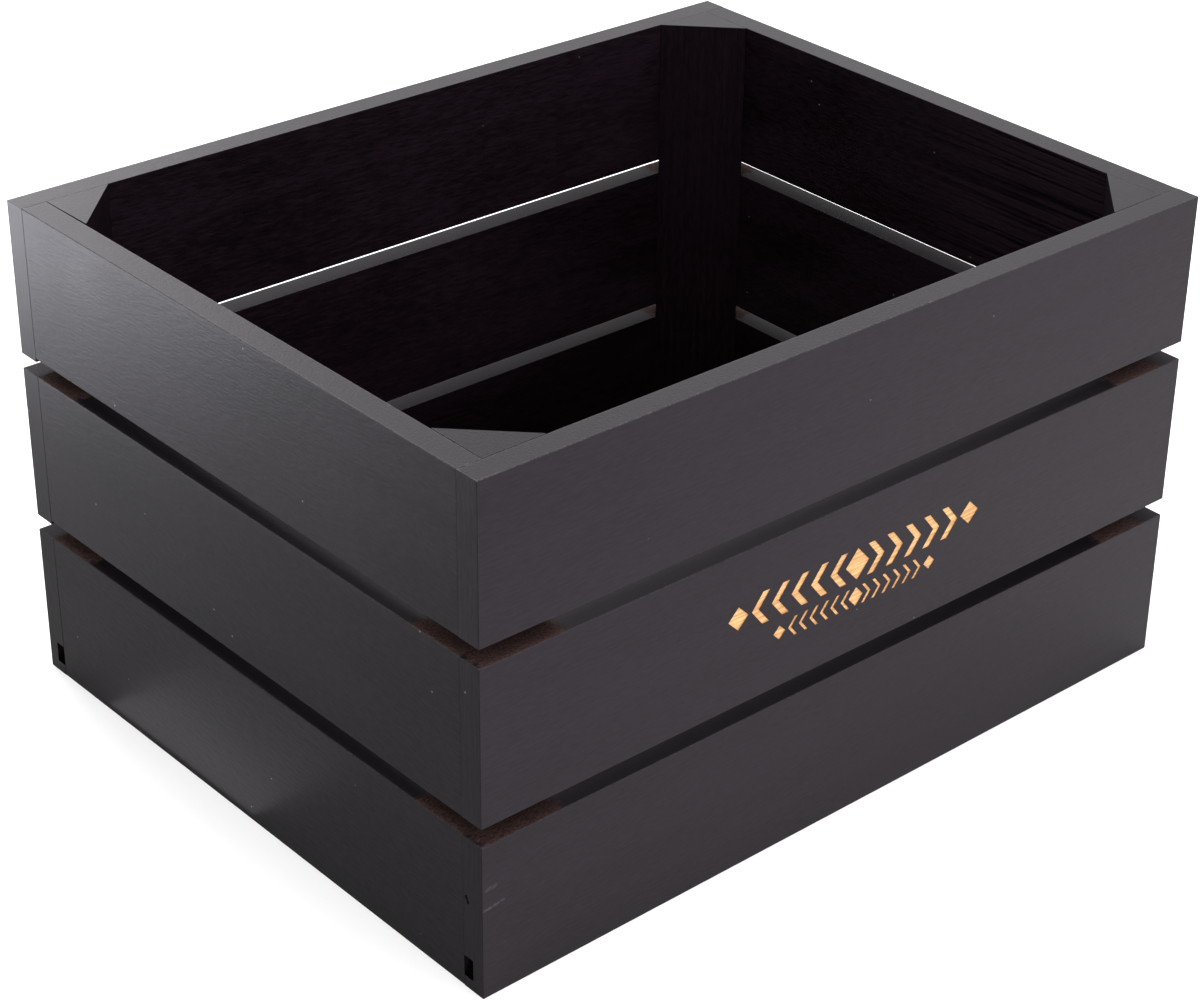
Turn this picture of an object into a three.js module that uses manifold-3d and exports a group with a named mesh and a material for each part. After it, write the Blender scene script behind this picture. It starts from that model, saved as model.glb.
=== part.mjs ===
// Open-top slatted wooden crate.
//
// Each of the four sides has three boards, one above the other, with a gap between tiers.
// The front and back boards run the whole length, and the left and right boards butt
// between them. A triangular post stands in every inside corner, on the bottom panel, and
// one narrow-crown staple holds each board end to its post. The crowns are set below the
// painted surface and filled over. The bottom panel lies in grooves in the bottom boards,
// and the grooves of the long boards run out through their end grain.
//
// Millimetres, +Z up. The origin is the centre of the base, at the height of the surface
// that the crate stands on. +X runs along the long side, and the front faces -Y.

import * as THREE from "three";
import { mergeVertices } from "three/addons/utils/BufferGeometryUtils.js";
import Module from "manifold-3d";

const wasm = await Module();
wasm.setup();

// Driving dimensions

const LENGTH = 400;
const WIDTH = 317;
const HEIGHT = 232;

const BOARD_THICKNESS = 12;
const ARRIS = 0.8;              // width and height of the eased long edges of a board
const JOINT_GAP = 0.3;          // glue line between two pieces
const POST_LEG = 30;            // each of the two square faces of a corner post

const GROOVE_BOTTOM = 5.5;      // height of the groove above the board's lower edge
const GROOVE_HEIGHT = 9.6;
const GROOVE_DEPTH = 5.5;
const PANEL_THICKNESS = 9;
const PANEL_CLEARANCE = 0.5;    // between the panel's edge and the floor of a groove

const STAPLE_CROWN = 5.7;       // outside width
const STAPLE_LEG = 25;
const STAPLE_WIRE = 1.2;        // across the crown
const STAPLE_WIRE_DEPTH = 1.0;  // along the board
const STAPLE_POINT = 1.5;       // length of the chisel point of each leg
const STAPLE_SET = 1.2;         // depth of the crown below the board's outer face
const STAPLE_CLEARANCE = 0.3;   // between the wire and the wood around it
const STAPLE_INSET = 10;        // from the inside corner, along the board
const STAPLE_RISE = 14;         // above or below the middle of the board

// Lower and upper edge of each side's two gaps. The boards are cut and set by hand, and the
// right and back gaps came out narrower than the front and left ones.
const GAPS = {
  front: [[72.8, 81.1], [153.2, 161.5]],
  right: [[73.2, 80.3], [153.8, 160.8]],
  back: [[72.3, 79.5], [153.1, 160.0]],
  left: [[72.8, 81.1], [153.2, 161.5]],
};
const SIDES = Object.keys(GAPS);
const TIERS = ["bottom", "middle", "top"];

// Derived dimensions

const WALL = BOARD_THICKNESS + JOINT_GAP;
const INNER_HALF_LENGTH = LENGTH / 2 - WALL;
const INNER_HALF_WIDTH = WIDTH / 2 - WALL;
const PANEL_BOTTOM = GROOVE_BOTTOM + (GROOVE_HEIGHT - PANEL_THICKNESS) / 2;
const POST_BOTTOM = PANEL_BOTTOM + PANEL_THICKNESS + JOINT_GAP;
const POST_HEIGHT = HEIGHT - POST_BOTTOM;
const QUARTER_TURN = Math.PI / 2;

// Lower edge and height of each of a side's boards
function boardSpans(side) {
  const edges = [0, ...GAPS[side].flat(), HEIGHT];
  return TIERS.map((_, number) => {
    const [low, high] = edges.slice(2 * number, 2 * number + 2);
    return { low, height: high - low };
  });
}

const AXIS_X = new THREE.Vector3(1, 0, 0);
const AXIS_Y = new THREE.Vector3(0, 1, 0);
const AXIS_Z = new THREE.Vector3(0, 0, 1);

// Materials

const paintedWood = () => new THREE.MeshStandardMaterial({ color: 0x2f2d30, roughness: 0.55 });
const paintedPlywood = () => new THREE.MeshStandardMaterial({ color: 0x262527, roughness: 0.6 });
const zincWire = () => new THREE.MeshStandardMaterial({ color: 0xb4b6b8, roughness: 0.4, metalness: 1 });

// Solids: geometry in, closed solid out, and back again

function toSolid(geometry) {
  const bare = geometry.clone();
  bare.deleteAttribute("normal");
  bare.deleteAttribute("uv");
  const merged = mergeVertices(bare);
  return new wasm.Manifold(
    new wasm.Mesh({
      numProp: 3,
      vertProperties: Float32Array.from(merged.attributes.position.array),
      triVerts: Uint32Array.from(merged.index.array),
    }),
  );
}

function toGeometry(solid) {
  const mesh = solid.getMesh();
  const geometry = new THREE.BufferGeometry();
  geometry.setAttribute("position", new THREE.BufferAttribute(mesh.vertProperties, 3));
  geometry.setIndex(new THREE.BufferAttribute(mesh.triVerts, 1));
  geometry.computeVertexNormals();
  return geometry;
}

function cutAll(geometry, cutters) {
  const solid = cutters.reduce((rest, cutter) => rest.subtract(toSolid(cutter)), toSolid(geometry));
  return toGeometry(solid);
}

function outline(points) {
  return new THREE.Shape(points.map(([x, y]) => new THREE.Vector2(x, y)));
}

// Staple: a flat U. Its crown is centred on the origin and runs along Z, and its legs
// point along +Y. With a clearance it is the space that the wire has in the wood.

function stapleGeometry(clearance) {
  const outside = STAPLE_CROWN / 2 + clearance;
  const inside = STAPLE_CROWN / 2 - STAPLE_WIRE - clearance;
  const tip = STAPLE_LEG + clearance;
  const shoulder = clearance > 0 ? tip : tip - STAPLE_POINT;
  const thickness = STAPLE_WIRE_DEPTH + 2 * clearance;
  const wire = outline([
    [-outside, -clearance],
    [outside, -clearance],
    [outside, shoulder],
    [inside, tip],
    [inside, STAPLE_WIRE + clearance],
    [-inside, STAPLE_WIRE + clearance],
    [-inside, tip],
    [-outside, shoulder],
  ]);
  const geometry = new THREE.ExtrudeGeometry(wire, { depth: thickness, bevelEnabled: false });
  geometry.translate(0, 0, -thickness / 2);
  geometry.applyMatrix4(new THREE.Matrix4().makeBasis(AXIS_Z, AXIS_Y, AXIS_X.clone().negate()));
  return geometry;
}

// Staples of one board: seen from outside, the left one is high and the right one low, so
// the two that meet in a post pass each other.

function stapleSeats(innerHalf, height) {
  const reach = innerHalf - STAPLE_INSET;
  return [
    { hand: "left", x: -reach, z: height / 2 + STAPLE_RISE },
    { hand: "right", x: reach, z: height / 2 - STAPLE_RISE },
  ];
}

// Board: +X along its length, outer face at y = 0, inner face at y = BOARD_THICKNESS and
// lower edge at z = 0.

function boardProfile(height, grooved) {
  const inner = BOARD_THICKNESS;
  const grooveFloor = inner - GROOVE_DEPTH;
  const grooveTop = GROOVE_BOTTOM + GROOVE_HEIGHT;
  const groove = [
    [inner, GROOVE_BOTTOM],
    [grooveFloor, GROOVE_BOTTOM],
    [grooveFloor, grooveTop],
    [inner, grooveTop],
  ];
  return outline([
    [ARRIS, 0],
    [inner - ARRIS, 0],
    [inner, ARRIS],
    ...(grooved ? groove : []),
    [inner, height - ARRIS],
    [inner - ARRIS, height],
    [ARRIS, height],
    [0, height - ARRIS],
    [0, ARRIS],
  ]);
}

function boardGeometry(boardLength, innerHalf, height, grooved) {
  const profile = boardProfile(height, grooved);
  const board = new THREE.ExtrudeGeometry(profile, { depth: boardLength, bevelEnabled: false });
  board.translate(0, 0, -boardLength / 2);
  board.applyMatrix4(new THREE.Matrix4().makeBasis(AXIS_Y, AXIS_Z, AXIS_X));
  const holes = stapleSeats(innerHalf, height).map(({ x, z }) =>
    stapleGeometry(STAPLE_CLEARANCE).translate(x, STAPLE_SET, z),
  );
  return cutAll(board, holes);
}

// Post: a triangular prism with its square corner on the Z axis and its two square faces
// along +X and +Y. It takes the high staples of the side that begins at it, and the low
// ones of the side that ends there.

function postGeometry(turn) {
  const section = outline([
    [0, 0],
    [POST_LEG, 0],
    [0, POST_LEG],
  ]);
  const post = new THREE.ExtrudeGeometry(section, { depth: POST_HEIGHT, bevelEnabled: false });
  const middles = (side) => boardSpans(side).map(({ low, height }) => low + height / 2 - POST_BOTTOM);
  const highHoles = middles(SIDES[turn]).map((middle) =>
    stapleGeometry(STAPLE_CLEARANCE).translate(STAPLE_INSET, STAPLE_SET - WALL, middle + STAPLE_RISE),
  );
  const lowHoles = middles(SIDES[(turn + 3) % 4]).map((middle) =>
    stapleGeometry(STAPLE_CLEARANCE)
      .rotateZ(-QUARTER_TURN)
      .translate(STAPLE_SET - WALL, STAPLE_INSET, middle - STAPLE_RISE),
  );
  return cutAll(post, [...highHoles, ...lowHoles]);
}

function panelGeometry() {
  const reach = JOINT_GAP + GROOVE_DEPTH - PANEL_CLEARANCE;
  return new THREE.BoxGeometry(
    2 * (INNER_HALF_LENGTH + reach),
    2 * (INNER_HALF_WIDTH + reach),
    PANEL_THICKNESS,
  );
}

// Assembly

function named(name, geometry, material) {
  const mesh = new THREE.Mesh(geometry, material);
  mesh.name = name;
  return mesh;
}

function makeSide(side, turn) {
  const along = turn % 2 === 0;
  const innerHalf = along ? INNER_HALF_LENGTH : INNER_HALF_WIDTH;
  const boardLength = along ? LENGTH : 2 * INNER_HALF_WIDTH;
  const group = new THREE.Group();
  boardSpans(side).forEach(({ low, height }, number) => {
    const tier = TIERS[number];
    const geometry = boardGeometry(boardLength, innerHalf, height, tier === "bottom");
    const board = named(`${side}_board_${tier}`, geometry, paintedWood());
    board.position.z = low;
    group.add(board);
    stapleSeats(innerHalf, height).forEach(({ hand, x, z }) => {
      const staple = named(`${side}_staple_${tier}_${hand}`, stapleGeometry(0), zincWire());
      staple.position.set(x, STAPLE_SET, low + z);
      group.add(staple);
    });
  });
  const placed = new THREE.Group();
  group.position.y = -(along ? WIDTH : LENGTH) / 2;
  placed.add(group);
  placed.rotation.z = turn * QUARTER_TURN;
  return placed;
}

function makePost(turn) {
  const corners = ["front_left", "front_right", "back_right", "back_left"];
  const signX = turn === 0 || turn === 3 ? -1 : 1;
  const signY = turn < 2 ? -1 : 1;
  const post = named(`${corners[turn]}_post`, postGeometry(turn), paintedWood());
  post.position.set(signX * INNER_HALF_LENGTH, signY * INNER_HALF_WIDTH, POST_BOTTOM);
  post.rotation.z = turn * QUARTER_TURN;
  return post;
}

const crate = new THREE.Group();
SIDES.forEach((side, turn) => {
  crate.add(makeSide(side, turn));
  crate.add(makePost(turn));
});

const panel = named("bottom_panel", panelGeometry(), paintedPlywood());
panel.position.z = PANEL_BOTTOM + PANEL_THICKNESS / 2;
crate.add(panel);

export default crate;
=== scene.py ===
"""Looks of an open-top slatted crate: its stained boards, corner posts and bottom panel."""

import math
from dataclasses import dataclass

import bmesh
import bpy
from mathutils import Matrix, Vector, noise


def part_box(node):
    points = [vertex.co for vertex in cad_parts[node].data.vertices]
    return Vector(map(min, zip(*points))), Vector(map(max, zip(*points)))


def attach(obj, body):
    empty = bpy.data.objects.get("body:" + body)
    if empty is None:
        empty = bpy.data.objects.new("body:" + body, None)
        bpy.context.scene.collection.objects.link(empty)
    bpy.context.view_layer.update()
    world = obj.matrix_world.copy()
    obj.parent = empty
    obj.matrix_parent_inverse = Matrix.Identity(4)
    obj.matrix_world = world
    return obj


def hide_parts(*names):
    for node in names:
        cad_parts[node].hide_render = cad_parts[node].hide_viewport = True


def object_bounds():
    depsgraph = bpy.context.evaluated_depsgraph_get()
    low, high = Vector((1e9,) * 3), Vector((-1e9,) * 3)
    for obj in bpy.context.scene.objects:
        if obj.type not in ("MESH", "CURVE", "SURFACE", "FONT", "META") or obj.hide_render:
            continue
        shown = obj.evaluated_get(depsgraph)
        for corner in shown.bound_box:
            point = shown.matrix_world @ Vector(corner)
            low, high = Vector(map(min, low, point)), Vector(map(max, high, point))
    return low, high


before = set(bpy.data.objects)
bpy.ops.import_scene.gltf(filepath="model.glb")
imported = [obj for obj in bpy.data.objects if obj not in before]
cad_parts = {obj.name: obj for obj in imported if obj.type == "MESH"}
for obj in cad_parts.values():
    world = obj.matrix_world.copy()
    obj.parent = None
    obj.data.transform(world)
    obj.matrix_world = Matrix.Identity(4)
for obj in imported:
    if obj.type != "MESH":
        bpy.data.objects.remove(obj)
CAD_LOW, CAD_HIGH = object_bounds()
CRATE_HALF = (CAD_HIGH - CAD_LOW) / 2

MM = 0.001
TIERS = ("bottom", "middle", "top")
UP = Vector((0, 0, 1))

# Wood sizes
BOARD_THICKNESS = 12 * MM
POST_LEG = 30 * MM
GROOVE_LOW = 5.5 * MM
GROOVE_HIGH = 15.1 * MM
GROOVE_DEPTH = 5.5 * MM
OUTER_ARRIS = 0.45 * MM       # radius of a board's outer long edges
INNER_ARRIS = 0.3 * MM        # radius of every other long edge
END_ARRIS = 0.25 * MM         # radius round an end face
JOINT_CLOSE = 0.27 * MM       # how far glue and stain bridge the 0.3 mm between two pieces
POST_TAPER = 0.5 * MM         # out of square, on the one post with an open joint

# Mesh spacing and surface unevenness
ARC_STEPS = 4
SUPPORTS = (1.2 * MM, 3 * MM)
STATION = 8 * MM
WOBBLE = 0.05 * MM            # depth of the short waves in a face
BOW = 0.06 * MM               # and of the long ones
WOBBLE_WAVES = (90, 60, 60)   # cycles per metre along the piece and across it
BOW_WAVES = (7, 5, 14)
SMOOTH_ANGLE = math.radians(40)

# How much of the end arris there is at a piece's outer and inner side
LONG_BOARD_EASING = (1, 0.2)
SIDE_BOARD_EASING = (0.3, 0.3)
POST_EASING = (0.4, 0.4)
PANEL_EASING = (0.5, 0.5)

# Shift of the noise for the first post and for the panel, past those of the boards
POST_SEED = 70
PANEL_SEED = 91

# Ornament engraved in the front middle board: (rise above the board's lower edge, height,
# stroke, pitch, number of chevrons on each side, half length)
ENGRAVING = 0.4 * MM
BAND_MIDDLE = -2 * MM
BANDS = (
    (41.9 * MM, 15 * MM, 3.7 * MM, 11 * MM, 5, 72.5 * MM),
    (26.2 * MM, 9 * MM, 1.5 * MM, 6 * MM, 6, 47 * MM),
)

# Chip in the left end of the front bottom board: (millimetres from the outer face, and of height)
CHIP_DEPTH = 0.9 * MM
CHIP = ((7.9, 41.9), (9.3, 41.3), (10.9, 44.6), (9.9, 46.0), (9.1, 44.1))

# Where the posts kept the stain out of the gaps
GAP_MIDDLE = 117.2 * MM       # height midway between the two gaps
GAP_RISE = 40.2 * MM          # from there to the middle of each gap
UNPAINTED_END = 42 * MM       # from a corner to where the stain begins
PAINTED_TIP = 11 * MM         # how far it still got in from the corner

# Scuffs on the front bottom board: (x, z, half width, half height, rise per x, strength)
SCUFF_MARKS = (
    (-195.5 * MM, 52.2 * MM, 4 * MM, 1.6 * MM, 0.1, 0.5),
    (-194.5 * MM, 43.2 * MM, 7 * MM, 0.9 * MM, 0.12, 0.9),
)


# ---------------------------------------------------------------- outlines

def straight_points(start, end, normal):
    """Points along a straight run of an outline: close to its ends, then evenly spaced."""
    length = (end - start).length
    along = (end - start).normalized()
    places = [0.0, length]
    for support in SUPPORTS:
        if length > 2.5 * support:
            places += [support, length - support]
    inner = length - 2 * SUPPORTS[-1]
    if inner > STATION:
        count = math.ceil(inner / STATION)
        places += [SUPPORTS[-1] + inner * i / count for i in range(1, count)]
    return [(start + along * place, normal, min(place, length - place)) for place in sorted(places)]


def outline_points(corners):
    """Points of a closed counter-clockwise outline with rounded corners, each with its outward
    normal and its distance from the nearest corner. corners is a list of (point, radius)."""
    count = len(corners)
    arcs = []
    for i, (corner, radius) in enumerate(corners):
        before = (corner - corners[i - 1][0]).normalized()
        after = (corners[(i + 1) % count][0] - corner).normalized()
        side = Vector((before.y, -before.x))
        bend = 1 if before.x * after.y - before.y * after.x > 0 else -1
        sweep = before.angle(after)
        centre = corner - before * radius * math.tan(sweep / 2) - side * radius * bend
        arc = []
        for step in range(ARC_STEPS + 1):
            angle = bend * sweep * step / ARC_STEPS
            normal = Matrix.Rotation(angle, 2) @ side
            arc.append((centre + normal * radius * bend, normal, 0.0))
        arcs.append(arc)
    points = []
    for i, arc in enumerate(arcs):
        following = arcs[(i + 1) % count]
        points += arc[1:-1]
        points += straight_points(arc[-1][0], following[0][0], arc[-1][1])
    return points


def board_corners(height, grooved):
    """Section of a board: x from its outer face inwards, y upwards."""
    inner = BOARD_THICKNESS
    floor = inner - GROOVE_DEPTH
    groove = [
        (Vector((inner, GROOVE_LOW)), INNER_ARRIS),
        (Vector((floor, GROOVE_LOW)), INNER_ARRIS),
        (Vector((floor, GROOVE_HIGH)), INNER_ARRIS),
        (Vector((inner, GROOVE_HIGH)), INNER_ARRIS),
    ]
    return [
        (Vector((0, 0)), OUTER_ARRIS),
        (Vector((inner, 0)), INNER_ARRIS),
        *(groove if grooved else []),
        (Vector((inner, height)), INNER_ARRIS),
        (Vector((0, height)), OUTER_ARRIS),
    ]


# ---------------------------------------------------------------- prisms

def stations(length):
    """Places along a prism, how far its outline is drawn in there, and the distance from its end."""
    rounded = []
    for step in range(ARC_STEPS + 1):
        angle = math.pi / 2 * step / ARC_STEPS
        rounded.append((END_ARRIS * (1 - math.cos(angle)), END_ARRIS * (1 - math.sin(angle)), 0.0))
    start = rounded + [(support, 0.0, support) for support in SUPPORTS]
    inner = length - 2 * SUPPORTS[-1]
    count = math.ceil(inner / STATION)
    middle = [(SUPPORTS[-1] + inner * i / count, 0.0, SUPPORTS[-1]) for i in range(1, count)]
    end = [(length - place, inset, distance) for place, inset, distance in reversed(start)]
    return start + middle + end


def unevenness(along, point, seed):
    """How far a hand-sanded surface lies inside its true outline, in metres."""
    lengthwise, across, upward = WOBBLE_WAVES
    fine = noise.noise(Vector((along * lengthwise, point.x * across + seed, point.y * upward)))
    lengthwise, across, upward = BOW_WAVES
    slow = noise.noise(Vector((along * lengthwise, point.x * across, point.y * upward + seed)))
    return WOBBLE * (0.5 + 0.5 * fine) + BOW * (0.5 + 0.5 * slow)


def end_loops(ring):
    """Copies of an end's outline, drawn in towards its middle by each support distance."""
    points = [point for point, _ in ring]
    low = Vector((min(p.x for p in points), min(p.y for p in points)))
    high = Vector((max(p.x for p in points), max(p.y for p in points)))
    middle = (low + high) / 2
    half = (high - low) / 2
    loops = []
    for support in SUPPORTS:
        scale = Matrix(((1 - support / half.x, 0), (0, 1 - support / half.y)))
        loops.append([(middle + scale @ (point - middle), support) for point in points])
    return loops


def uneven_sections(outline, length, seed, easing):
    """Places along a prism, each with its outline's points and their distances from an edge."""
    sections = []
    for along, inset, end_distance in stations(length):
        ring = []
        for point, normal, edge_distance in outline:
            share = easing[0] + (easing[1] - easing[0]) * point.x / BOARD_THICKNESS
            drawn = point - normal * (inset * share + unevenness(along, point, seed))
            ring.append((drawn, min(end_distance, edge_distance)))
        sections.append((along, ring))
    start = [(0.0, loop) for loop in reversed(end_loops(sections[0][1]))]
    end = [(length, loop) for loop in end_loops(sections[-1][1])]
    return start + sections + end


def prism(name, corners, length, place, seed, easing):
    """A closed piece of wood: an outline with rounded corners, run along its length and set in place.
    place takes (along, outline x, outline y) to the row frame, and easing is how much of the end
    arris there is at the outer and the inner side. The attribute arris is 1 at an edge."""
    mesh = bmesh.new()
    arris = mesh.verts.layers.float.new("arris")
    rings = []
    for along, section in uneven_sections(outline_points(corners), length, seed, easing):
        ring = []
        for point, distance in section:
            vertex = mesh.verts.new(place @ Vector((along, point.x, point.y)))
            vertex[arris] = 1 - min(distance, SUPPORTS[-1]) / SUPPORTS[-1]
            ring.append(vertex)
        rings.append(ring)
    count = len(rings[0])
    for near, far in zip(rings, rings[1:]):
        for i in range(count):
            j = (i + 1) % count
            mesh.faces.new((near[i], far[i], far[j], near[j]))
    mesh.faces.new(rings[0])
    mesh.faces.new(list(reversed(rings[-1])))
    bmesh.ops.recalc_face_normals(mesh, faces=mesh.faces)
    return add_object(name, mesh)


def add_object(name, mesh):
    data = bpy.data.meshes.new(name)
    mesh.to_mesh(data)
    mesh.free()
    added = bpy.data.objects.new(name, data)
    bpy.context.scene.collection.objects.link(added)
    return added


def placement(origin, along, across, upward):
    """Matrix that takes (along, across, upward) to the row frame."""
    matrix = Matrix.Identity(4)
    for column, vector in enumerate((along, across, upward, origin)):
        for row in range(3):
            matrix[row][column] = vector[row]
    return matrix


def finish_piece(piece, node):
    """Rounded edges shade smoothly and flat faces stay flat; then the piece joins the frame."""
    for polygon in piece.data.polygons:
        polygon.use_smooth = True
    piece.data.set_sharp_from_angle(angle=SMOOTH_ANGLE)
    weighted = piece.modifiers.new("weighted_normals", "WEIGHTED_NORMAL")
    weighted.keep_sharp = True
    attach(piece, "root")
    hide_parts(node)


# ---------------------------------------------------------------- boards, posts and panel

SIDES = {
    "front": (Vector((1, 0, 0)), Vector((0, 1, 0))),
    "right": (Vector((0, 1, 0)), Vector((-1, 0, 0))),
    "back": (Vector((-1, 0, 0)), Vector((0, -1, 0))),
    "left": (Vector((0, -1, 0)), Vector((1, 0, 0))),
}
POSTS = {
    "front_left_post": "front",
    "front_right_post": "right",
    "back_right_post": "back",
    "back_left_post": "left",
}


def start_corner(node, along, inward):
    """The lower outer corner of a node's box, at the end where along begins."""
    low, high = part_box(node)
    return Vector((
        low.x if along.x + inward.x > 0 else high.x,
        low.y if along.y + inward.y > 0 else high.y,
        low.z,
    ))


def make_board(side, tier, seed):
    """Seen from outside, a board runs from its left end. The side boards butt on the long ones."""
    node = f"{side}_board_{tier}"
    low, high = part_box(node)
    along, inward = SIDES[side]
    butts = side in ("left", "right")
    reach = JOINT_CLOSE if butts else 0
    length = abs((high - low).dot(along)) + 2 * reach
    start = start_corner(node, along, inward) - along * reach
    place = placement(start, along, inward, UP)
    corners = board_corners(high.z - low.z, tier == "bottom")
    easing = SIDE_BOARD_EASING if butts else LONG_BOARD_EASING
    return prism(f"stained_{node}", corners, length, place, seed, easing)


def make_post(node, side, seed):
    low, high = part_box(node)
    first, second = SIDES[side]
    start = start_corner(node, first, second)
    place = placement(start, UP, first, second)
    taper = POST_TAPER if node == "back_left_post" else 0
    corners = [
        (Vector((-JOINT_CLOSE, -JOINT_CLOSE)), INNER_ARRIS),
        (Vector((POST_LEG, taper - JOINT_CLOSE)), INNER_ARRIS),
        (Vector((-JOINT_CLOSE, POST_LEG)), INNER_ARRIS),
    ]
    return prism(f"stained_{node}", corners, high.z - low.z, place, seed, POST_EASING)


def make_panel(seed):
    low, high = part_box("bottom_panel")
    size = high - low
    place = placement(low, Vector((1, 0, 0)), Vector((0, 1, 0)), UP)
    corners = [
        (Vector((0, 0)), INNER_ARRIS),
        (Vector((size.y, 0)), INNER_ARRIS),
        (Vector((size.y, size.z)), INNER_ARRIS),
        (Vector((0, size.z)), INNER_ARRIS),
    ]
    return prism("stained_bottom_panel", corners, size.x, place, seed, PANEL_EASING)


# ---------------------------------------------------------------- engraving and chip

def add_plate(mesh, points, place):
    """A closed plate: place takes its outline's (across, up) and the depths -1 and 1 to the row frame."""
    near, far = ([mesh.verts.new(place @ Vector((x, depth, y))) for x, y in points] for depth in (-1, 1))
    mesh.faces.new(near)
    mesh.faces.new(list(reversed(far)))
    for i in range(len(points)):
        j = (i + 1) % len(points)
        mesh.faces.new((near[j], near[i], far[i], far[j]))


def cut(piece, cutter_mesh):
    """Takes the closed bodies in cutter_mesh out of the piece."""
    bmesh.ops.recalc_face_normals(cutter_mesh, faces=cutter_mesh.faces)
    cutter = add_object("cutter", cutter_mesh)
    boolean = piece.modifiers.new("cut", "BOOLEAN")
    boolean.object = cutter
    boolean.operation = "DIFFERENCE"
    boolean.solver = "EXACT"
    seen = piece.evaluated_get(bpy.context.evaluated_depsgraph_get())
    whole = piece.data
    piece.data = bpy.data.meshes.new_from_object(seen)
    piece.data.name = piece.name
    piece.modifiers.remove(boolean)
    bpy.data.meshes.remove(whole)
    cutter_data = cutter.data
    bpy.data.objects.remove(cutter)
    bpy.data.meshes.remove(cutter_data)


def diamond(x, half_width, half_height):
    return [(x - half_width, 0), (x, -half_height), (x + half_width, 0), (x, half_height)]


def chevron(x, stroke, point, half_height):
    """A V on its side that starts at x and points away from the band's middle."""
    return [
        (x, -half_height),
        (x + stroke, -half_height),
        (x + stroke + point, 0),
        (x + stroke, half_height),
        (x, half_height),
        (x + point, 0),
    ]


def band_shapes(height, stroke, pitch, count, half_length):
    """Outlines of one band: a diamond, chevrons on both sides of it and a small diamond at each end."""
    half = height / 2
    point = 0.8 * half
    end_half = 0.36 * height
    shapes = [diamond(0, half * 0.9, half)]
    for i in range(count):
        right = chevron(0.8 * half + i * pitch, stroke, point, half)
        shapes += [right, [(-x, y) for x, y in right]]
    shapes += [diamond(sign * (half_length - end_half), end_half, end_half) for sign in (-1, 1)]
    return shapes


def on_a_band(centre, low):
    """Whether a point of the front middle board lies in the area of one of the bands."""
    for rise, height, *_, half_length in BANDS:
        across = abs(centre.x - BAND_MIDDLE) < half_length + 2 * SUPPORTS[-1]
        if across and abs(centre.z - low.z - rise) < height / 2 + 0.1 * MM:
            return True
    return False


def engrave(board, raw_wood):
    """Cuts the ornament into the front middle board and gives the cut faces raw wood."""
    low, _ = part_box("front_board_middle")
    mesh = bmesh.new()
    for rise, *shape in BANDS:
        middle = Vector((BAND_MIDDLE, low.y, low.z + rise))
        place = Matrix.Translation(middle) @ Matrix.Diagonal((1, ENGRAVING, 1, 1))
        for points in band_shapes(*shape):
            add_plate(mesh, points, place)
    cut(board, mesh)
    board.data.materials.append(raw_wood)
    for polygon in board.data.polygons:
        depth = polygon.center.y - low.y
        wall_or_floor = abs(polygon.normal.y) < 0.5 or depth > 0.8 * ENGRAVING
        if wall_or_floor and depth < 1.2 * ENGRAVING and on_a_band(polygon.center, low):
            polygon.material_index = len(board.data.materials) - 1


def chip_end(board):
    """Breaks a sliver out of the left end of the front bottom board."""
    low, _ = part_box("front_board_bottom")
    mesh = bmesh.new()
    place = placement(low, Vector((0, 1, 0)), Vector((CHIP_DEPTH, 0, 0)), UP)
    add_plate(mesh, [(y * MM, z * MM) for y, z in CHIP], place)
    cut(board, mesh)


# ---------------------------------------------------------------- materials

class Nodes:
    """Short ways to add nodes to one material. A value may be a number, a colour or a socket."""

    def __init__(self, name):
        self.material = bpy.data.materials.new(name)
        self.material.use_nodes = True
        self.tree = self.material.node_tree
        self.shader = self.tree.nodes["Principled BSDF"]
        self.place = self.add("ShaderNodeTexCoord", {}).outputs["Object"]
        self.normal = self.add("ShaderNodeNewGeometry", {}).outputs["True Normal"]

    def add(self, kind, values, **settings):
        node = self.tree.nodes.new(kind)
        for key, setting in settings.items():
            setattr(node, key, setting)
        for key, value in values.items():
            self.feed(node.inputs[key], value)
        return node

    def feed(self, socket, value):
        if isinstance(value, bpy.types.NodeSocket):
            self.tree.links.new(value, socket)
        else:
            socket.default_value = value

    def math(self, operation, first, second=0.0, third=0.0):
        return self.add("ShaderNodeMath", {0: first, 1: second, 2: third}, operation=operation).outputs[0]

    def blend(self, factor, first, second):
        values = {0: factor, 6: first, 7: second}
        return self.add("ShaderNodeMix", values, data_type="RGBA").outputs[2]

    def mix(self, factor, first, second):
        return self.add("ShaderNodeMix", {0: factor, 2: first, 3: second}).outputs[0]

    def between(self, value, low, high):
        """0 below low, 1 above high, and smooth in between. low may be above high."""
        values = {"Value": value, "From Min": low, "From Max": high}
        return self.add("ShaderNodeMapRange", values, interpolation_type="SMOOTHSTEP").outputs[0]

    def scaled(self, scale, shift=0.0):
        values = {"Vector": self.place, "Scale": scale, "Location": (shift, shift * 1.7, shift * 2.3)}
        return self.add("ShaderNodeMapping", values).outputs[0]

    def noise(self, scale, shift=0.0, detail=2.0):
        """Noise from 0 to 1 with the given cycles per metre along X, Y and Z."""
        values = {"Vector": self.scaled(scale, shift), "Scale": 1.0, "Detail": detail}
        return self.add("ShaderNodeTexNoise", values).outputs[0]

    def axis(self, vector, index):
        return self.add("ShaderNodeSeparateXYZ", {0: vector}).outputs[index]

    def bump(self, height, depth):
        return self.add("ShaderNodeBump", {"Height": height, "Distance": depth}).outputs[0]


AXES = {"x": 0, "y": 1, "z": 2}

# Share of each in the height of the grain
FIBRE_SHARE = 0.72
STREAK_SHARE = 0.2
RING_SHARE = 0.08

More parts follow.
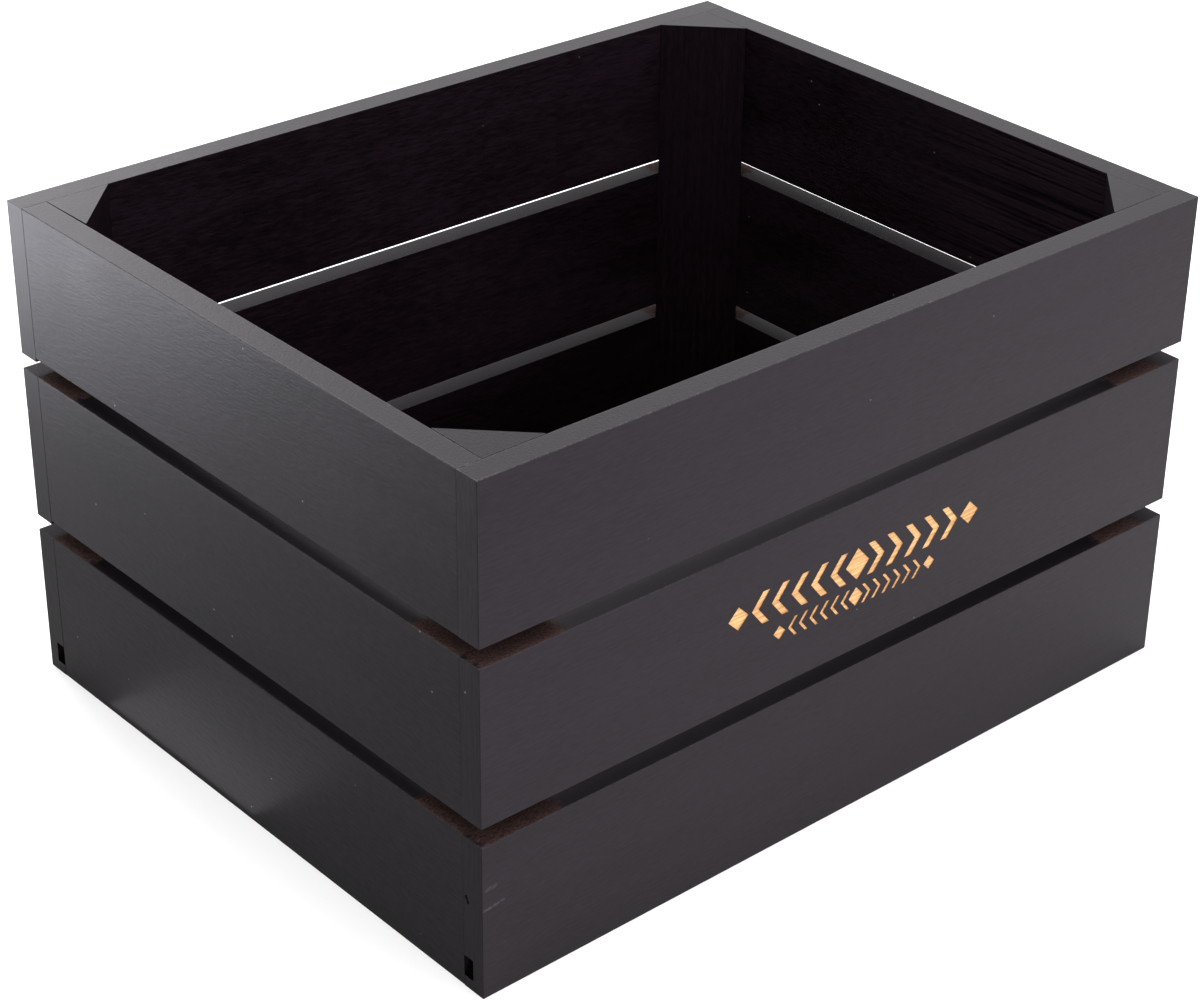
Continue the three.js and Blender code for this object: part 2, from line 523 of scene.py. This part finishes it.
FIBRE = (160, 850)           # cycles per metre along and across the grain
STREAK = (28, 300)
FIGURE = (2.2, 26)
RIDGE = (12, 620)            # coarse ridges on one board's inner face
RIDGE_HEIGHT = 0.65          # against the grain's height of 1
RIDGE_NEAR, RIDGE_FAR = -120 * MM, 40 * MM    # fully there, and gone
RINGS_PER_METRE = 330
RING_SWING = 4               # how many rings the figure bends by

# Cycles per metre of what is alike in all directions
SAWN = 900                   # on the sawn and painted upper edges
PORES = 2300                 # in the surface of all wood
PATCHES = 13                 # of thicker and thinner stain
EDGE_BREAKUP = 1500                  # of the wear and painted highlight along the arrises
DUST_CELLS = 85              # one in ten of them holds a speck
SCUFF_GRAIN = 500

OUTER_RELIEF = 0.11 * MM     # of the grain on the sanded front and back
SIDE_RELIEF = 0.15 * MM      # on the left and right sides
END_RELIEF = 0.08 * MM       # on the sanded end grain
INNER_RELIEF = 0.25 * MM     # and on the rougher inner faces
RAW_RELIEF = 0.06 * MM
SCRATCH_RELIEF = 0.01 * MM   # on the staple wire

# From where something begins to count, and from where it counts fully
LEVEL = (0.985, 0.998)       # the normal's z on a level upper edge
RISING = (0.05, 0.3)         # the normal's z on an upper arris
WEAR_AND_HIGHLIGHT = (1.13, 1.38)          # nearness to an arris plus half the noise, where the stain wears off and a highlight is painted


def along_grain(grain, along, across):
    """A noise scale that is stretched along the grain."""
    scale = [across] * 3
    scale[AXES[grain]] = along
    return scale


def grain_height(nodes, grain, shift, depth_axis):
    """Fine fibres, streaks and growth rings as one height from 0 to 1, and the fibres alone."""
    fibre = nodes.noise(along_grain(grain, *FIBRE), shift, 3.0)
    streak = nodes.noise(along_grain(grain, *STREAK), shift + 3)
    figure = nodes.noise(along_grain(grain, *FIGURE), shift + 7, 1.0)
    depth = nodes.axis(nodes.place, AXES[depth_axis])
    phase = nodes.math("MULTIPLY", depth, 2 * math.pi * RINGS_PER_METRE)
    phase = nodes.math("MULTIPLY_ADD", figure, 2 * math.pi * RING_SWING, phase)
    ring = nodes.math("MULTIPLY_ADD", nodes.math("SINE", phase), 0.5, 0.5)
    height = nodes.math("MULTIPLY", fibre, FIBRE_SHARE)
    height = nodes.math("MULTIPLY_ADD", streak, STREAK_SHARE, height)
    height = nodes.math("MULTIPLY_ADD", ring, RING_SHARE, height)
    return height, fibre


def sawn_height(nodes, shift):
    """The even, felt-like roughness of an upper edge that was sawn and then painted."""
    coarse = nodes.noise([SAWN] * 3, shift + 13, 3.0)
    fine = nodes.noise([3 * SAWN] * 3, shift + 17)
    return nodes.math("MULTIPLY_ADD", fine, 0.45, nodes.math("MULTIPLY_ADD", coarse, 0.7, -0.07))


def ridges(nodes):
    """Coarse ridges along a board that runs in Y, stronger towards its near end."""
    ridge = nodes.between(nodes.noise(along_grain("y", *RIDGE), 21, 0.0), 0.3, 0.65)
    near = nodes.between(nodes.axis(nodes.place, 1), RIDGE_FAR, RIDGE_NEAR)
    return nodes.math("MULTIPLY", nodes.math("SUBTRACT", ridge, 0.4), near)


def painted_tip(nodes):
    """How far the stain reaches in from a corner along a gap's edges: not at all at the front left."""
    corner = nodes.math("ADD", nodes.axis(nodes.place, 0), nodes.axis(nodes.place, 1))
    return nodes.math("MULTIPLY", nodes.between(corner, -280 * MM, -270 * MM), PAINTED_TIP)


def bare_on_boards(nodes, grain, fibre):
    """1 on the gap edges of a board where it lies against a post, beyond the painted tip."""
    facing = nodes.math("ABSOLUTE", nodes.axis(nodes.normal, 2))
    level = nodes.math("ABSOLUTE", nodes.math("SUBTRACT", nodes.axis(nodes.place, 2), GAP_MIDDLE))
    along = nodes.math("ABSOLUTE", nodes.axis(nodes.place, AXES[grain]))
    reach = nodes.math("SUBTRACT", CRATE_HALF[AXES[grain]], along)
    ragged = nodes.math("MULTIPLY_ADD", nodes.math("SUBTRACT", fibre, 0.5), 12 * MM, reach)
    mask = nodes.between(facing, 0.8, 0.97)
    mask = nodes.math("MULTIPLY", mask, nodes.between(level, GAP_RISE + 60 * MM, GAP_RISE + 20 * MM))
    mask = nodes.math("MULTIPLY", mask, nodes.between(ragged, UNPAINTED_END + MM, UNPAINTED_END - 2 * MM))
    inside_tip = nodes.math("SUBTRACT", ragged, painted_tip(nodes))
    return nodes.math("MULTIPLY", mask, nodes.between(inside_tip, 0, 3 * MM))


def bare_on_posts(nodes):
    """1 on the square faces of a post at the heights of the two gaps."""
    sides = [nodes.math("ABSOLUTE", nodes.axis(nodes.normal, index)) for index in (0, 1)]
    facing = nodes.math("MAXIMUM", *sides)
    level = nodes.math("ABSOLUTE", nodes.math("SUBTRACT", nodes.axis(nodes.place, 2), GAP_MIDDLE))
    level = nodes.math("ABSOLUTE", nodes.math("SUBTRACT", level, GAP_RISE))
    return nodes.math("MULTIPLY", nodes.between(facing, 0.85, 0.95), nodes.between(level, 5 * MM, 4 * MM))


def dust(nodes, shift):
    """1 on small pale specks, about one on each face of a board."""
    cells = nodes.add("ShaderNodeTexVoronoi", {"Vector": nodes.scaled([DUST_CELLS] * 3, shift), "Scale": 1.0})
    chosen = nodes.between(nodes.axis(cells.outputs["Color"], 0), 0.9, 0.92)
    return nodes.math("MULTIPLY", nodes.between(cells.outputs["Distance"], 0.045, 0.025), chosen)


def scuffs(nodes, marks):
    """The strongest of some soft-edged oval marks: (x, z, half width, half height, rise per x, strength)."""
    rough = nodes.noise([SCUFF_GRAIN] * 3, 2, 3.0)
    strongest = 0.0
    for x, z, half_width, half_height, slant, strength in marks:
        across = nodes.math("SUBTRACT", nodes.axis(nodes.place, 0), x)
        up = nodes.math("SUBTRACT", nodes.axis(nodes.place, 2), z)
        up = nodes.math("SUBTRACT", up, nodes.math("MULTIPLY", across, slant))
        across = nodes.math("POWER", nodes.math("DIVIDE", across, half_width), 2)
        up = nodes.math("POWER", nodes.math("DIVIDE", up, half_height), 2)
        spread = nodes.math("MULTIPLY_ADD", rough, 2.4, nodes.math("ADD", across, up))
        mark = nodes.math("MULTIPLY", nodes.between(spread, 2.1, 1.1), strength)
        strongest = nodes.math("MAXIMUM", mark, strongest)
    outward = nodes.between(nodes.axis(nodes.normal, 1), -0.7, -0.95)
    return nodes.math("MULTIPLY", strongest, outward)


# Linear colours
DARK_STAIN = (0.0014, 0.0005, 0.001, 1)
LIGHT_STAIN = (0.0105, 0.0055, 0.0088, 1)
# Lighter copy of the stain for the outward faces: painted light, against the painted shade of the darker
# stain above on the inner and lower faces
DARK_LIT_STAIN = (0.0045, 0.0039, 0.0045, 1)
LIGHT_LIT_STAIN = (0.0115, 0.0099, 0.0115, 1)
PANEL_DARK = (0.006, 0.005, 0.0055, 1)
PANEL_LIGHT = (0.024, 0.019, 0.021, 1)
# Pale wear and a painted highlight on the upper outer arrises, brighter on the rims
RIM_WEAR_AND_HIGHLIGHT = (0.055, 0.052, 0.053, 1)
EDGE_WEAR_AND_HIGHLIGHT = (0.04, 0.0376, 0.0384, 1)
BARE_DARK = (0.018, 0.0105, 0.009, 1)
BARE_LIGHT = (0.085, 0.05, 0.041, 1)
SCUFF = (0.05, 0.047, 0.05, 1)
DUST = (0.25, 0.24, 0.23, 1)
SHEEN = (0.98, 0.79, 1, 1)    # tint of the stain's reflection
RAW_DARK = (0.52, 0.27, 0.1, 1)
RAW_LIGHT = (0.84, 0.52, 0.24, 1)
SCORCHED = (0.2, 0.08, 0.03, 1)
DULL_ZINC = (0.42, 0.42, 0.43, 1)
BRIGHT_ZINC = (0.66, 0.66, 0.68, 1)
PAPER = (0.9, 0.9, 0.9, 1)


def outside(nodes):
    """1 on the faces that look away from the middle of the crate's base. They get a lighter copy of the stain
    as painted light; the inner and lower faces keep the darker stain as painted shade.
    """
    outward = nodes.add("ShaderNodeVectorMath", {0: nodes.normal, 1: nodes.place}, operation="DOT_PRODUCT")
    return nodes.between(outward.outputs["Value"], 20 * MM, 50 * MM)


@dataclass
class Coat:
    """How the stain lies on one kind of face."""

    shine: float                          # specular level
    roughness: float = 0.42
    relief: float = OUTER_RELIEF
    # The stain's dark and light tone, which stays on the inner and lower faces as painted shade
    stain: tuple = (DARK_STAIN, LIGHT_STAIN)
    rims: bool = False                    # upper edges are sanded rims; otherwise upward faces are rough and painted darker as shade
    ridged: bool = False
    rings_across: str = ""                # axis that the rings are stacked along
    bare: str = ""                        # "board" or "post", where the gaps show bare wood
    marks: tuple = ()


def stain_colour(nodes, coat, height, patches, upper, outer):
    """Stain that follows the grain, with painted light and shade: lighter on the outward faces, darker on the
    inner and lower faces, and darker still on upward gap edges.
    """
    tone = nodes.math("MULTIPLY_ADD", patches, 0.4, height)
    # Painted shade: on pieces without rims, faces that look straight up (the upper edges in the gaps, the
    # panel's top) are drawn darker.
    if not coat.rims:
        tone = nodes.math("MULTIPLY_ADD", upper, -0.2, tone)
    shade = nodes.between(tone, 0.4, 1.0)
    # Painted light and shade: the stain is darker on the inner and lower faces and lighter on the outward
    # ones
    stain_in_shade = nodes.blend(shade, *coat.stain)
    stain_in_light = nodes.blend(shade, DARK_LIT_STAIN, LIGHT_LIT_STAIN)
    return nodes.blend(outer, stain_in_shade, stain_in_light)


def used_and_highlit_colour(nodes, coat, colour, shift, outer):
    """Wear with a painted highlight along the upper outer arrises, specks of dust and scuff marks over the
    stain.
    """
    arris = nodes.add("ShaderNodeAttribute", {}, attribute_name="arris").outputs["Fac"]
    edge_breakup = nodes.noise([EDGE_BREAKUP] * 3, shift + 5, 3.0)
    worn_and_lit = nodes.between(nodes.math("MULTIPLY_ADD", edge_breakup, 0.5, arris), *WEAR_AND_HIGHLIGHT)
    rising = nodes.between(nodes.axis(nodes.normal, 2), *RISING)
    worn_and_lit = nodes.math("MULTIPLY", worn_and_lit, nodes.math("MULTIPLY", outer, rising))
    # Wear and painted highlight: a pale line on the upper outer arrises, where light catches the edge
    colour = nodes.blend(worn_and_lit, colour, RIM_WEAR_AND_HIGHLIGHT if coat.rims else EDGE_WEAR_AND_HIGHLIGHT)
    colour = nodes.blend(nodes.math("MULTIPLY", dust(nodes, shift), 0.45), colour, DUST)
    if coat.marks:
        colour = nodes.blend(scuffs(nodes, coat.marks), colour, SCUFF)
    return colour


def stained_wood(name, grain, shift, coat):
    """Satin black stain over fine straight grain that runs along the given axis."""
    nodes = Nodes(name)
    across = coat.rings_across or ("x" if grain == "y" else "y")
    height, fibre = grain_height(nodes, grain, shift, across)
    upper = nodes.between(nodes.axis(nodes.normal, 2), *LEVEL)
    height = nodes.mix(upper, height, sawn_height(nodes, shift))
    if coat.ridged:
        height = nodes.math("MULTIPLY_ADD", ridges(nodes), RIDGE_HEIGHT, height)
    patches = nodes.noise([PATCHES] * 3, shift + 11, 3.0)
    # Outward faces get the lighter stain as painted light, the others the darker stain as painted shade
    outer = outside(nodes)
    colour = stain_colour(nodes, coat, height, patches, upper, outer)
    colour = used_and_highlit_colour(nodes, coat, colour, shift, outer)
    rough = nodes.math("MULTIPLY_ADD", patches, 0.12, coat.roughness - 0.06)
    rough = nodes.math("MULTIPLY_ADD", height, 0.1, rough)
    rough = nodes.math("MULTIPLY_ADD", upper, -0.15 if coat.rims else 0.15, rough)
    if coat.bare:
        mask = bare_on_posts(nodes) if coat.bare == "post" else bare_on_boards(nodes, grain, fibre)
        wood = nodes.blend(nodes.between(height, 0.3, 0.8), BARE_DARK, BARE_LIGHT)
        colour = nodes.blend(mask, colour, wood)
        rough = nodes.math("MULTIPLY_ADD", mask, 0.4, rough)
    pores = nodes.noise([PORES] * 3, shift)
    surface = nodes.math("MULTIPLY_ADD", pores, 0.16, height)
    nodes.feed(nodes.shader.inputs["Base Color"], colour)
    nodes.feed(nodes.shader.inputs["Roughness"], rough)
    nodes.feed(nodes.shader.inputs["Normal"], nodes.bump(surface, coat.relief))
    nodes.shader.inputs["Specular IOR Level"].default_value = coat.shine
    nodes.shader.inputs["Specular Tint"].default_value = SHEEN
    return nodes.material


def raw_wood(name):
    """Freshly engraved wood: tan with darker fibres and a few scorched flecks."""
    nodes = Nodes(name)
    fibre = nodes.noise(along_grain("x", 60, 1300), 4, 3.0)
    fleck = nodes.noise(along_grain("x", 300, 900), 9, 3.0)
    colour = nodes.blend(nodes.between(fibre, 0.3, 0.75), RAW_DARK, RAW_LIGHT)
    colour = nodes.blend(nodes.between(fleck, 0.62, 0.78), colour, SCORCHED)
    nodes.feed(nodes.shader.inputs["Base Color"], colour)
    nodes.feed(nodes.shader.inputs["Roughness"], nodes.math("MULTIPLY_ADD", fleck, 0.2, 0.65))
    nodes.feed(nodes.shader.inputs["Normal"], nodes.bump(fibre, RAW_RELIEF))
    nodes.shader.inputs["Specular IOR Level"].default_value = 0.3
    return nodes.material


def zinc_wire(name):
    """Drawn wire with a thin zinc coat: fine scratches and duller patches."""
    nodes = Nodes(name)
    scratches = nodes.noise((2500, 2500, 400), 1, 3.0)
    patches = nodes.noise((260, 260, 260), 6, 3.0)
    colour = nodes.blend(nodes.between(patches, 0.35, 0.7), DULL_ZINC, BRIGHT_ZINC)
    rough = nodes.math("MULTIPLY_ADD", patches, 0.2, 0.25)
    nodes.feed(nodes.shader.inputs["Base Color"], colour)
    nodes.shader.inputs["Metallic"].default_value = 1.0
    nodes.feed(nodes.shader.inputs["Roughness"], nodes.math("MULTIPLY_ADD", scratches, 0.1, rough))
    nodes.feed(nodes.shader.inputs["Normal"], nodes.bump(scratches, SCRATCH_RELIEF))
    return nodes.material


# ---------------------------------------------------------------- stage

CAMERA_PLACE = Vector((-0.7518, -0.8617, 0.7287))
CAMERA_AIM = Vector((0.0188, -0.0533, 0.1))
CAMERA_ROLL = math.radians(1.94)
SENSOR = 36
FOCAL_WIDTHS = 2.413      # focal length in image widths
CAMERA_SHIFT = -0.1
FLOOR_RADIUS = 9


def make_camera():
    data = bpy.data.cameras.new("camera")
    data.sensor_width = SENSOR
    data.lens = SENSOR * FOCAL_WIDTHS
    data.shift_x = CAMERA_SHIFT
    data.clip_start = 0.05
    data.clip_end = 60
    camera = bpy.data.objects.new("camera", data)
    bpy.context.scene.collection.objects.link(camera)
    look = (CAMERA_AIM - CAMERA_PLACE).to_track_quat("-Z", "Y")
    roll = Matrix.Rotation(CAMERA_ROLL, 4, "Z")
    camera.matrix_world = Matrix.Translation(CAMERA_PLACE) @ look.to_matrix().to_4x4() @ roll
    bpy.context.scene.camera = camera


def make_floor():
    mesh = bmesh.new()
    bmesh.ops.create_circle(mesh, cap_ends=True, radius=FLOOR_RADIUS, segments=96)
    floor = add_object("floor", mesh)
    floor.location.z = CAD_LOW.z
    nodes = Nodes("floor_paper")
    nodes.shader.inputs["Base Color"].default_value = PAPER
    nodes.shader.inputs["Roughness"].default_value = 0.9
    nodes.shader.inputs["Specular IOR Level"].default_value = 0.1
    floor.data.materials.append(nodes.material)


WORLD_RADIANCE = 0.95
WHITE = (1, 1, 1)

# Soft boxes: place, aim, width, height, radiance and colour
SOFT_BOXES = {
    "overhead": ((0.3, 0, 2.4), (0.2, -0.1, 0), 2.4, 2.4, 2.2, WHITE),
    "backdrop": ((1.4, 2.25, 1.4), (0, 0, 0.2), 2.6, 1.6, 0.65, WHITE),
    "corner_light": ((0.47, 2.1, 1.26), (0, 0, 0.2), 1.0, 0.7, 4.5, WHITE),
    "front_fill": ((1.3, -1.5, 1.1), (0.35, -0.7, 0), 1.2, 1.2, 3.0, (1.0, 0.9, 1.05)),
    "left_glow": ((-0.58, 0.71, 0.003), (-0.58, 0.71, 1), 0.35, 0.5, 45.0, (0.97, 1.0, 1.05)),
    "left_arris_light": ((-1.02, 0.81, 0.83), (0, 0, 0.2), 1.1, 1.1, 4.0, WHITE),
    "left_pool": ((-0.216, 0.055, 0.002), (-0.216, 0.055, 1), 0.03, 0.112, 2.0, WHITE),
    "floor_wash": ((-1.3, -1.2, 1.6), (-0.2, -0.3, 0), 1.2, 1.2, 4.8, WHITE),
}


def area_light(name, place, aim, width, height, radiance, colour):
    """A soft box of the given size, as bright per area as radiance says."""
    data = bpy.data.lights.new(name, "AREA")
    data.shape = "RECTANGLE"
    data.size = width
    data.size_y = height
    data.energy = radiance * math.pi * width * height
    data.color = colour
    light = bpy.data.objects.new(name, data)
    bpy.context.scene.collection.objects.link(light)
    light.location = place
    light.rotation_euler = (Vector(aim) - Vector(place)).to_track_quat("-Z", "Y").to_euler()
    light.visible_camera = False
    return light


def board_names(tiers):
    """The boards of these tiers that the helper lights on the left are for."""
    return [f"stained_{side}_board_{tier}" for side in ("front", "back", "left") for tier in tiers]


def light_only(light, names):
    """Keeps a light off everything but the objects with these names."""
    lit = bpy.data.collections.new(f"{light.name}_lit")
    for name in names:
        lit.objects.link(bpy.data.objects[name])
    light.light_linking.receiver_collection = lit


def make_light():
    scene = bpy.context.scene
    scene.view_settings.view_transform = "Standard"
    world = bpy.data.worlds.new("world")
    scene.world = world
    world.use_nodes = True
    background = world.node_tree.nodes["Background"]
    background.inputs["Color"].default_value = (*WHITE, 1)
    background.inputs["Strength"].default_value = WORLD_RADIANCE
    lights = {name: area_light(name, *box) for name, box in SOFT_BOXES.items()}
    light_only(lights["left_glow"], board_names(TIERS[1:]))
    light_only(lights["left_arris_light"], board_names(TIERS[2:]))
    light_only(lights["left_pool"], ["stained_left_board_bottom"])
    light_only(lights["floor_wash"], ["floor"])


# ---------------------------------------------------------------- assembly

OUTER_SHINE = 0.165
INNER_SHINE = 0.12
SIDE_SHINE = 0.035
SIDE_ROUGHNESS = 0.38
PANEL_ROUGHNESS = 0.55

GAP_COAT = Coat(OUTER_SHINE, bare="board")
RIM_COAT = Coat(OUTER_SHINE, bare="board", rims=True)
SCUFFED_COAT = Coat(OUTER_SHINE, bare="board", marks=SCUFF_MARKS)
POST_COAT = Coat(OUTER_SHINE, bare="post", rims=True)
INNER_COAT = Coat(INNER_SHINE, relief=INNER_RELIEF)
RIDGED_COAT = Coat(INNER_SHINE, relief=INNER_RELIEF, ridged=True)
SIDE_COAT = Coat(SIDE_SHINE, SIDE_ROUGHNESS, SIDE_RELIEF)
END_COAT = Coat(SIDE_SHINE, SIDE_ROUGHNESS, END_RELIEF)
PANEL_COAT = Coat(INNER_SHINE, PANEL_ROUGHNESS, INNER_RELIEF, (PANEL_DARK, PANEL_LIGHT), rings_across="z")


FACING = 0.6    # a normal's part along an axis, from which the face counts as facing that way


def lay_coat(piece, look, covered):
    """Puts a further material on the faces that covered(centre, normal) picks."""
    piece.data.materials.append(look)
    slot = len(piece.data.materials) - 1
    for polygon in piece.data.polygons:
        if covered(polygon.center, polygon.normal):
            polygon.material_index = slot


def on_crate_side(centre, normal):
    return abs(normal.x) > FACING and abs(centre.x) > CRATE_HALF.x - MM


def faces_inwards(centre, normal):
    return abs(normal.z) < FACING and normal.x * centre.x + normal.y * centre.y < 0


def board_coats(side, tier):
    """The main coat of a board, and those on its inner face and on the crate's left and right."""
    main = RIM_COAT if tier == "top" else GAP_COAT
    if (side, tier) == ("front", "bottom"):
        main = SCUFFED_COAT
    inner = RIDGED_COAT if (side, tier) == ("right", "top") else INNER_COAT
    return main, inner, END_COAT if side in ("front", "back") else SIDE_COAT


def build_boards():
    for number, side in enumerate(SIDES):
        grain = "x" if side in ("front", "back") else "y"
        side_grain = "z" if grain == "x" else "y"
        for tier_number, tier in enumerate(TIERS):
            seed = 10 * number + 3 * tier_number + 1
            name = f"stain_{side}_{tier}"
            main, inner, outer = board_coats(side, tier)
            board = make_board(side, tier, seed)
            board.data.materials.append(stained_wood(name, grain, seed, main))
            lay_coat(board, stained_wood(f"{name}_inner", grain, seed, inner), faces_inwards)
            lay_coat(board, stained_wood(f"{name}_end", side_grain, seed, outer), on_crate_side)
            if (side, tier) == ("front", "middle"):
                engrave(board, raw_wood("raw_wood"))
            if (side, tier) == ("front", "bottom"):
                chip_end(board)
            finish_piece(board, f"{side}_board_{tier}")


def build_posts():
    for number, (node, side) in enumerate(POSTS.items()):
        seed = POST_SEED + number
        post = make_post(node, side, seed)
        post.data.materials.append(stained_wood(f"stain_{node}", "z", seed, POST_COAT))
        lay_coat(post, stained_wood(f"stain_{node}_inner", "z", seed, INNER_COAT), faces_inwards)
        finish_piece(post, node)


def build_panel():
    panel = make_panel(PANEL_SEED)
    panel.data.materials.append(stained_wood("stain_panel", "x", PANEL_SEED, PANEL_COAT))
    finish_piece(panel, "bottom_panel")


def dress_staples():
    wire = zinc_wire("zinc_wire")
    for node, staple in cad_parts.items():
        if "_staple_" in node:
            staple.data.materials.clear()
            staple.data.materials.append(wire)


build_boards()
build_posts()
build_panel()
dress_staples()
make_camera()
make_floor()
make_light()
